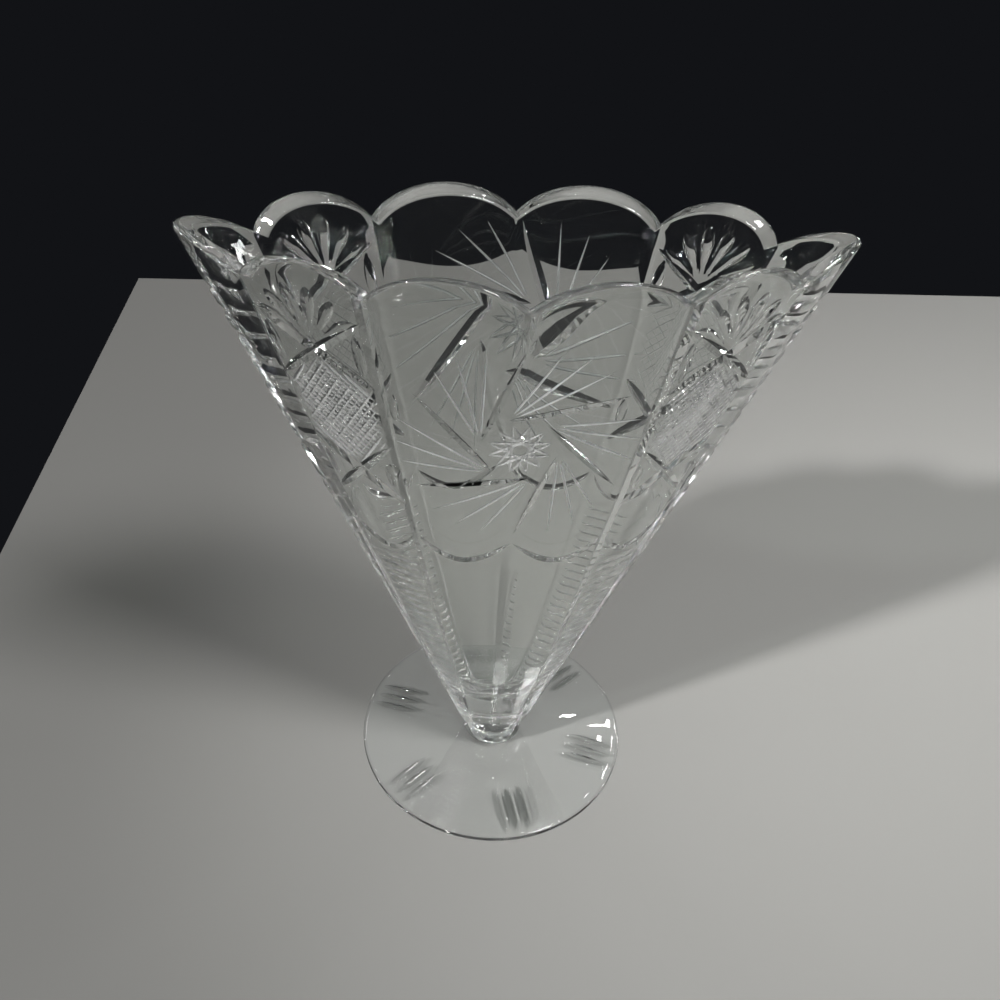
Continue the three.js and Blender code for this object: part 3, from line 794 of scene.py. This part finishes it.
# %% The finishes of the vase
BOWL_TINTS = (0.88, 0.895, 0.88), (0.865, 0.88, 0.865)
FOOT_TINTS = (0.985, 0.99, 0.985), (0.965, 0.975, 0.97)
GREY_TINTS = (0.96, 0.97, 0.97), (0.92, 0.93, 0.93)
HATCH_TINTS = (0.98, 0.99, 0.98), (0.94, 0.95, 0.94)
polished = make_crystal(
    "polished crystal", BOWL_TINTS, roughness=(0.0, 0.012), scales=(55.0, 700.0), stretch=0.5,
    lamp_pass=(0.36, 0.38, 0.37),
)
wheel_cut_finish = make_crystal(
    "wheel cut crystal", BOWL_TINTS, roughness=(0.0, 0.03), scales=(90.0, 1500.0), stretch=0.2,
    lamp_pass=(0.34, 0.36, 0.35),
)
foot_polish = make_crystal(
    "polished foot crystal", FOOT_TINTS, roughness=(0.0, 0.012), scales=(45.0, 700.0), stretch=1.0,
    lamp_pass=(0.97, 0.98, 0.98),
)
fine_cut_finish = make_crystal(
    "fine grey cut", GREY_TINTS, roughness=(0.3, 0.4), scales=(90.0, 260.0), stretch=1.0,
    lamp_pass=(0.45, 0.47, 0.47), clearness=0.7,
)
hatched_finish = make_crystal(
    "hatched crystal", HATCH_TINTS, roughness=(0.02, 0.12), scales=(90.0, 900.0), stretch=1.0,
    lamp_pass=(0.4, 0.42, 0.42), clearness=0.74,
)
print("index of refraction:", CRYSTAL_INDEX)

# %% [markdown]
# The cuts are taken out of the blank with Boolean modifiers, one for each group. The Manifold solver is
# fast and exact on closed bodies. Faces that come from a cutter keep the cutter's material slot, so each
# kind of cut brings its own finish with it.

# %% Helpers for cutting
WHEEL_SLOT, FINE_SLOT, HATCH_SLOT = 1, 2, 3


def give_slots(piece, skin_finish):
    for material in (skin_finish, wheel_cut_finish, fine_cut_finish, hatched_finish):
        piece.data.materials.append(material)


def merged_cutters(name, cuts, slot=WHEEL_SLOT):
    points, faces, start = [], [], 0
    for cut_points, cut_faces in cuts:
        points.append(cut_points)
        faces += [[index + start for index in face] for face in cut_faces]
        start += len(cut_points)
    cutter = mesh_object(name, np.concatenate(points), faces)
    give_slots(cutter, polished)
    cutter.data.polygons.foreach_set("material_index", [slot] * len(cutter.data.polygons))
    return cutter


def subtract(piece, cutter):
    """Cut piece with cutter, keep the result as plain mesh and drop the cutter."""
    cut = piece.modifiers.new("cut", "BOOLEAN")
    cut.operation = "DIFFERENCE"
    cut.solver = "MANIFOLD"
    cut.object = cutter
    bpy.context.view_layer.update()
    evaluated = piece.evaluated_get(bpy.context.evaluated_depsgraph_get())
    result = bpy.data.meshes.new_from_object(evaluated)
    piece.modifiers.clear()
    old, piece.data = piece.data, result
    bpy.data.meshes.remove(old)
    bpy.data.objects.remove(cutter)


def finish_edges(piece, angle):
    """Smooth shading with true edges kept sharp."""
    piece.data.polygons.foreach_set("use_smooth", [True] * len(piece.data.polygons))
    piece.data.set_sharp_from_angle(angle=math.radians(angle))


print("cut groups waiting:", len(cut_groups))

# %% [markdown]
# The order of the cuts follows the cutter's bench: the fine lines first, the deep cuts over them. Where a
# deep cut crosses a fine line, its clean facet takes the place of the grey one.

# %% Cut the bowl
CUT_ORDER = STAR_RAYS + HUB_LINES + [
    "hatch up", "hatch down", "crosses up", "crosses down", "olives", "petals even", "petals odd",
    "star arms", "festoons", "ladder even", "ladder odd", "end hollows even", "end hollows odd",
]
CUT_SLOTS = {name: FINE_SLOT for name in STAR_RAYS}
CUT_SLOTS.update({name: HATCH_SLOT for name in HUB_LINES + ["hatch up", "hatch down"]})
bowl = mesh_object("cut_bowl", blank_points, blank_faces)
give_slots(bowl, polished)
for name in CUT_ORDER:
    subtract(bowl, merged_cutters(name, cut_groups[name], CUT_SLOTS.get(name, WHEEL_SLOT)))
    print(name, "leaves", len(bowl.data.polygons), "faces")
finish_edges(bowl, 22.0)

# %% [markdown]
# The collar, or merese, is the small button of glass that joins bowl and foot. It is turned, so a profile
# of radius and height is enough. It reaches a hair into its neighbours, so light passes through the
# joint as it does through glass that was fused hot.

# %% The collar
TURN_STEPS = 128
JOINT_LAP = 0.06
COLLAR_BASE = 10.6
COLLAR_WAIST = 8.2
COLLAR_TOP = NECK_RADIUS - NECK_EDGE_ROUND


def turned(name, profile):
    """A turned body from (radius, height) pairs that start and end on the axis."""
    angles = np.linspace(0.0, 2.0 * math.pi, TURN_STEPS, endpoint=False)
    circle = np.stack([np.cos(angles), np.sin(angles)], axis=-1)
    level = np.ones(TURN_STEPS)
    rings = [np.column_stack([circle * radius, level * height]) for radius, height in profile[1:-1]]
    points, faces = skin(rings, [0.0, 0.0, profile[0][1]], [0.0, 0.0, profile[-1][1]])
    return mesh_object(name, points, faces)


share = np.linspace(0.0, 1.0, 14)
waist_pull = (COLLAR_BASE + COLLAR_TOP) / 2 - COLLAR_WAIST
collar_radius = COLLAR_BASE + (COLLAR_TOP - COLLAR_BASE) * share
collar_radius = collar_radius - waist_pull * np.sin(np.pi * share) ** 0.8
collar_rise = NECK_HEIGHT - FOOT_SEAT_HEIGHT + 2.0 * JOINT_LAP
collar_height = FOOT_SEAT_HEIGHT - JOINT_LAP + collar_rise * share
collar_side = list(zip(collar_radius, collar_height))
collar = turned("joining_collar", [(0.0, collar_height[0]), *collar_side, (0.0, collar_height[-1])])
give_slots(collar, polished)
finish_edges(collar, 30.0)
print("collar waist radius:", round(float(collar_radius.min()), 2), "mm")

# %% [markdown]
# The foot is a thin disc with a shallow dome, a rounded edge and a flat underside. Six groups of three
# short olive cuts stand round it near the edge. They are made with the same wheel, along straight paths
# that run outwards.

# %% The foot
FOOT_EDGE_HEIGHT = 2.6
FOOT_EDGE_ROUND = 1.25
UNDERSIDE_RING = 20.0
UNDERSIDE_EDGE = 0.3


def foot_top(radius):
    share = np.clip((FOOT_RADIUS - radius) / (FOOT_RADIUS - COLLAR_BASE), 0.0, 1.0)
    return FOOT_EDGE_HEIGHT + (FOOT_SEAT_HEIGHT - FOOT_EDGE_HEIGHT) * share ** 1.3


turns = np.linspace(-math.pi / 2, math.pi / 2, 13)
edge_radius = FOOT_RADIUS - FOOT_EDGE_ROUND + FOOT_EDGE_ROUND * np.cos(turns)
edge_height = FOOT_EDGE_HEIGHT / 2 * (1.0 + np.sin(turns))
dome_radius = np.linspace(FOOT_RADIUS - FOOT_EDGE_ROUND, COLLAR_BASE, 20)[1:]
underside = [(0.0, 0.0), (UNDERSIDE_RING, 0.0), (edge_radius[0] - UNDERSIDE_EDGE, 0.0)]
foot_profile = underside + list(zip(edge_radius, edge_height))
foot_profile += list(zip(dome_radius, foot_top(dome_radius))) + [(0.0, FOOT_SEAT_HEIGHT)]
foot = turned("cut_foot", foot_profile)
give_slots(foot, foot_polish)
print("foot blank:", len(foot.data.polygons), "faces")

# %% [markdown]
# The six groups stand at equal steps round the foot. The first is turned aside by an angle that puts all
# of them where the photograph shows them. On the gentle dome a cutter may simply look straight up.

# %% Cut the foot
FOOT_GROUPS = 6
FIRST_GROUP = -19.5
FOOT_CUT_GAP = 4.3
FOOT_CUT_START = FOOT_RADIUS - 19.4
FOOT_CUT_END = FOOT_RADIUS - 2.4
FOOT_CUT_DEPTH = 0.95
FOOT_CUT_STATIONS = 14
FOOT_WHEEL = 1.0
foot_cuts = []
for group in range(FOOT_GROUPS):
    turn = math.radians(FIRST_GROUP - 360.0 / FOOT_GROUPS * group)
    out, across = polar(1.0, turn), polar(1.0, turn + math.pi / 2)
    for aside in (-FOOT_CUT_GAP, 0.0, FOOT_CUT_GAP):
        along = np.linspace(FOOT_CUT_START, FOOT_CUT_END, FOOT_CUT_STATIONS)
        spots = out * along[:, None] + across * aside
        points = np.column_stack([spots, foot_top(np.hypot(spots[:, 0], spots[:, 1]))])
        upward = np.tile([0.0, 0.0, 1.0], (FOOT_CUT_STATIONS, 1))
        sunk = boat_depth(FOOT_CUT_STATIONS, FOOT_CUT_DEPTH)
        foot_cuts.append(wheel_cut(points, upward, sunk, round_radius=FOOT_WHEEL))
subtract(foot, merged_cutters("foot cuts", foot_cuts))
finish_edges(foot, 22.0)
print("foot:", len(foot.data.polygons), "faces with", len(foot_cuts), "cuts")

# %% [markdown]
# Each finished piece rides on the model's one body and stands for its CAD node, which is hidden.

# %% Join the pieces to the frame
for piece, node in ((bowl, "bowl"), (collar, "collar"), (foot, "foot")):
    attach(piece, "root")
    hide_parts(node)
    piece.data.calc_loop_triangles()
    print(piece.name, "stands for", node, "with", len(piece.data.loop_triangles), "triangles")

# %% [markdown]
# Glass shows what is around it. A plain pale table under the vase gives the lower part its light tone. It
# ends a little way behind the vase, so the rim and the fans stand out against the room beyond.

# %% Table
TABLE_GAP = 0.0001
TABLE_LEFT, TABLE_RIGHT = -0.215, 0.37
TABLE_FRONT, TABLE_BACK = -0.25, 0.364
TABLE_COLOUR = (0.4, 0.396, 0.378, 1.0)
table_corners = [
    (TABLE_LEFT, TABLE_FRONT), (TABLE_RIGHT, TABLE_FRONT),
    (TABLE_RIGHT, TABLE_BACK), (TABLE_LEFT, TABLE_BACK),
]
table_points = [(x / MM, y / MM, -TABLE_GAP / MM) for x, y in table_corners]
table = mesh_object("table", table_points, [[0, 1, 2, 3]])
table_paint = bpy.data.materials.new("pale table")
table_paint.use_nodes = True
table_shader = table_paint.node_tree.nodes["Principled BSDF"]
table_shader.inputs["Base Color"].default_value = TABLE_COLOUR
table_shader.inputs["Roughness"].default_value = 0.9
table.data.materials.append(table_paint)
print("table:", round(TABLE_RIGHT - TABLE_LEFT, 3), "by", round(TABLE_BACK - TABLE_FRONT, 3), "m")

# %% [markdown]
# The room is dark behind the table, dim before it and light above, so the face stays clear while the
# rim's slope and the facets that look up turn bright. Diffuse rays see the room much dimmer, so it
# doesn't wash out the shadow on the table.

# %% Room
BEHIND = (0.006, 0.0065, 0.008)
BEFORE = (0.05, 0.05, 0.05)
ABOVE = (0.55, 0.55, 0.55)
DIFFUSE_SHARE = 0.04
ROOM_BLENDS = (("Y", 0.45, -0.55, BEFORE), ("Z", 0.55, 0.85, ABOVE))


def make_room():
    """A world whose tone is blended along one direction after the other."""
    room = bpy.data.worlds.new("room")
    room.use_nodes = True
    nodes, links = room.node_tree.nodes, room.node_tree.links
    place, parts = nodes.new("ShaderNodeTexCoord"), nodes.new("ShaderNodeSeparateXYZ")
    links.new(place.outputs["Generated"], parts.inputs[0])
    tone = None
    for axis, dark_at, light_at, colour in ROOM_BLENDS:
        mask, mixed = nodes.new("ShaderNodeMapRange"), nodes.new("ShaderNodeMix")
        mask.interpolation_type = "SMOOTHSTEP"
        mask.inputs["From Min"].default_value = dark_at
        mask.inputs["From Max"].default_value = light_at
        links.new(parts.outputs[axis], mask.inputs["Value"])
        mixed.data_type = "RGBA"
        mixed.inputs["A"].default_value = (*BEHIND, 1.0)
        mixed.inputs["B"].default_value = (*colour, 1.0)
        links.new(mask.outputs["Result"], mixed.inputs["Factor"])
        if tone is not None:
            links.new(tone, mixed.inputs["A"])
        tone = mixed.outputs["Result"]
    links.new(tone, nodes["Background"].inputs["Color"])
    ray, level = nodes.new("ShaderNodeLightPath"), nodes.new("ShaderNodeMapRange")
    level.inputs["To Min"].default_value = 1.0
    level.inputs["To Max"].default_value = DIFFUSE_SHARE
    links.new(ray.outputs["Is Diffuse Ray"], level.inputs["Value"])
    links.new(level.outputs["Result"], nodes["Background"].inputs["Strength"])
    return room


bpy.context.scene.world = make_room()
print("room: diffuse rays see", DIFFUSE_SHARE, "of it")

# %% [markdown]
# A large softbox high on the right and a small one on the left throw the two shadows, and four faint ones
# in front and behind fill in. Cut glass needs small bright things to mirror, so low lamps stand at table
# height round the sides: they hardly light the table, but facets that look sideways turn white. Small
# lamps overhead and at the back leave bright points on the rim and the foot. No lamp shows in the view.

# %% Lamps
from mathutils import Matrix, Vector

VASE_MIDDLE = (0.0, 0.0, 0.1)
BACK_LAMPS = (((0.40, 0.88, 1.1), 0.022), ((0.372, 0.93, 1.1), 0.012), ((0.18, 0.83, 1.1), 0.012))
BACK_LAMP_GLOW = 200.0
LOW_LAMPS = ((38.0, 0.1), (62.0, 0.1), (90.0, 0.1), (118.0, 0.045), (140.0, 0.02))
LOW_LAMP_GLOW = 124.0
LOW_LAMP_DISTANCE = 1.4
LOW_LAMP_HEIGHT = 0.14
CEILING_STEP = 0.42
CEILING_HEIGHT = 1.3


def soft_lamp(name, place, aim, size, power, spread=180.0):
    """A square lamp: size in metres, power in watts, spread in degrees."""
    data = bpy.data.lights.new(name, "AREA")
    data.shape = "SQUARE"
    data.size = size
    data.energy = power
    data.spread = math.radians(spread)
    lamp = bpy.data.objects.new(name, data)
    bpy.context.scene.collection.objects.link(lamp)
    lamp.location = place
    lamp.visible_camera = False
    lamp.rotation_mode = "QUATERNION"
    lamp.rotation_quaternion = (Vector(aim) - Vector(place)).to_track_quat("-Z", "Y")


soft_lamp("right softbox", (0.45, -0.31, 0.98), (0.0, 0.0, 0.08), size=0.26, power=6.4)
soft_lamp("left softbox", (-0.62, -0.40, 0.82), (0.30, 0.13, 0.0), size=0.06, power=0.42, spread=33.0)
for side in (-1.0, 1.0):
    soft_lamp("front softbox", (0.75 * side, -1.05, 0.55), (0.0, 0.0, 0.12), size=0.3, power=0.5)
    soft_lamp("back softbox", (0.48 * side, 0.78, 0.95), VASE_MIDDLE, size=0.05, power=0.25)
    for turn, size in LOW_LAMPS:
        back, aside = polar(LOW_LAMP_DISTANCE, math.radians(turn))
        spot = (side * aside, back, LOW_LAMP_HEIGHT)
        soft_lamp("low lamp", spot, (0.0, 0.0, 0.12), size, power=LOW_LAMP_GLOW * size ** 2)
for place, size in BACK_LAMPS:
    soft_lamp("back lamp", place, VASE_MIDDLE, size, power=BACK_LAMP_GLOW * size ** 2)
for column in (-1.5, -0.5, 0.5, 1.5):
    for row in (-1, 0, 1):
        spot = (CEILING_STEP * column + 0.15, CEILING_STEP * row + 0.3, CEILING_HEIGHT)
        soft_lamp("ceiling lamp", spot, (0.0, 0.2, 0.0), size=0.02, power=0.03)

# %% [markdown]
# The camera stands where the photograph was taken from: close, above the rim, and turned a few degrees on
# its own axis. Its place was found by fitting the rim's notches and the foot in the 1000 by 1000 picture.

# %% Camera
FOCAL_PIXELS = 1000.0
PICTURE_PIXELS = 1000.0
SENSOR_WIDTH = 36.0
CAMERA_DISTANCE = 0.2419
CAMERA_HEIGHT = 0.3102
swing, yaw, pitch, roll = (math.radians(value) for value in (-5.43, -0.50, 39.16, 3.54))
camera_data = bpy.data.cameras.new("camera")
camera_data.sensor_width = SENSOR_WIDTH
camera_data.lens = SENSOR_WIDTH * FOCAL_PIXELS / PICTURE_PIXELS
camera_data.clip_start = 0.01
camera = bpy.data.objects.new("camera", camera_data)
bpy.context.scene.collection.objects.link(camera)
heading = Matrix.Rotation(swing - yaw, 3, "Z")
tilt = Matrix.Rotation(math.pi / 2 - pitch, 3, "X")
lean = Matrix.Rotation(roll, 3, "Z")
camera.rotation_euler = (heading @ tilt @ lean).to_euler()
beside, before = math.sin(swing) * CAMERA_DISTANCE, -math.cos(swing) * CAMERA_DISTANCE
camera.location = (beside, before, CAMERA_HEIGHT)
bpy.context.scene.camera = camera
print("camera at", [round(value, 4) for value in camera.location], "lens", camera_data.lens)

# %% [markdown]
# Light crosses many walls of cut glass before it reaches the camera, so the paths may be long. Bright
# paths are held back only a little: they are the sparkle.

# %% How light is followed
scene = bpy.context.scene
scene.view_settings.view_transform = "Standard"
scene.cycles.max_bounces = 32
scene.cycles.transmission_bounces = 32
scene.cycles.glossy_bounces = 12
scene.cycles.sample_clamp_indirect = 60.0
scene.cycles.use_denoising = True
print("bounces:", scene.cycles.max_bounces, "view:", scene.view_settings.view_transform)
